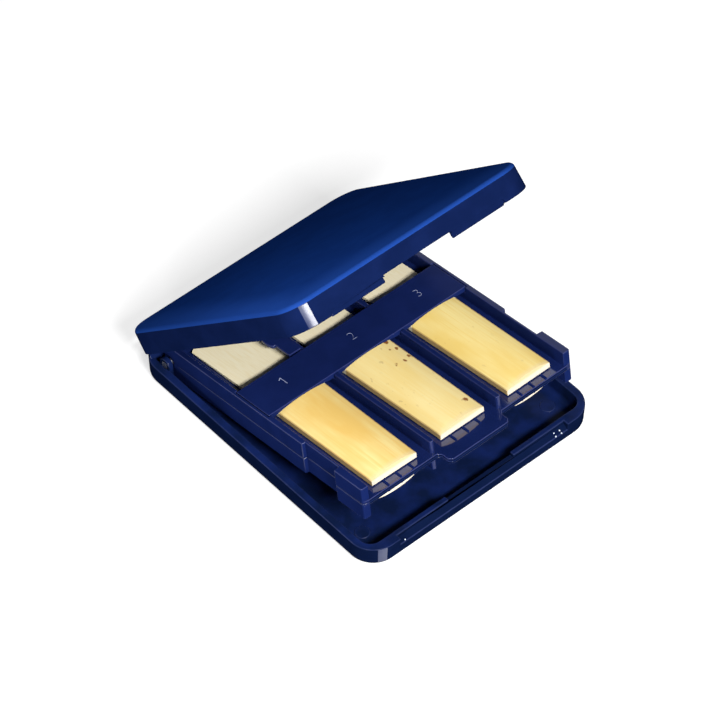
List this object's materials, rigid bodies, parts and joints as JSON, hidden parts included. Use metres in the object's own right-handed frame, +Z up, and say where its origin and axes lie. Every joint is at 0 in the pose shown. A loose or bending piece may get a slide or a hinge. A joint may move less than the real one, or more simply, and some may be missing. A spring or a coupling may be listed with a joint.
{
  "type": "reed case",
  "caption": "Flat hinged plastic case for woodwind reeds, standing open: base, lid and a lifting tray with slots, rails and a cross band on each face that hold cane reeds.",
  "frame": {"origin": "middle of the base's flat underside, on the surface that the case lies on", "axes": "+X along the opening edge, to the right as seen from the front; +Y from the opening edge towards the hinge; +Z up"},
  "size_m": [0.078, 0.0968, 0.0728],
  "materials": {
    "navy_plastic": "gloss",
    "cobalt_plastic": "satin",
    "pin_steel": "satin",
    "cane": "satin"
  },
  "bodies": {
    "base": {"base_shell": "navy_plastic", "hinge_pin_left": "pin_steel", "hinge_pin_right": "pin_steel", "pivot_pin_left": "pin_steel", "pivot_pin_right": "pin_steel"},
    "lid": {"lid_shell": "cobalt_plastic"},
    "tray": {"tray_upper": "navy_plastic", "tray_lower": "navy_plastic", "band_upper": "navy_plastic", "band_lower": "navy_plastic"},
    "reed_upper_1": {"reed_upper_1": "cane"},
    "reed_upper_2": {"reed_upper_2": "cane"},
    "reed_upper_3": {"reed_upper_3": "cane"},
    "reed_lower_1": {"reed_lower_1": "cane"},
    "reed_lower_2": {"reed_lower_2": "cane"},
    "reed_lower_3": {"reed_lower_3": "cane"}
  },
  "joints": [
    {"name": "lid_hinge", "type": "hinge", "parent": "base", "child": "lid", "pos_m": [0, 0.0436, 0.005], "axis": [-1, 0, 0], "range_deg": [-44, 54]},
    {"name": "tray_pivot", "type": "hinge", "parent": "base", "child": "tray", "pos_m": [0, 0.0372, 0.0069], "axis": [-1, 0, 0], "range_deg": [-8.7, 10.7]},
    {"name": "reed_upper_1_slide", "type": "slide", "parent": "tray", "child": "reed_upper_1", "axis": [0, -0.9885, 0.1513], "range_m": [0, 0.06]},
    {"name": "reed_upper_2_slide", "type": "slide", "parent": "tray", "child": "reed_upper_2", "axis": [0, -0.9885, 0.1513], "range_m": [0, 0.06]},
    {"name": "reed_upper_3_slide", "type": "slide", "parent": "tray", "child": "reed_upper_3", "axis": [0, -0.9885, 0.1513], "range_m": [0, 0.06]},
    {"name": "reed_lower_1_slide", "type": "slide", "parent": "tray", "child": "reed_lower_1", "axis": [0, -0.9885, 0.1513], "range_m": [0, 0.06]},
    {"name": "reed_lower_2_slide", "type": "slide", "parent": "tray", "child": "reed_lower_2", "axis": [0, -0.9885, 0.1513], "range_m": [0, 0.06]},
    {"name": "reed_lower_3_slide", "type": "slide", "parent": "tray", "child": "reed_lower_3", "axis": [0, -0.9885, 0.1513], "range_m": [0, 0.06]}
  ],
  "couplings": [
    {"joint": "tray_pivot", "follows": "lid_hinge", "ratio": 0.19773}
  ]
}
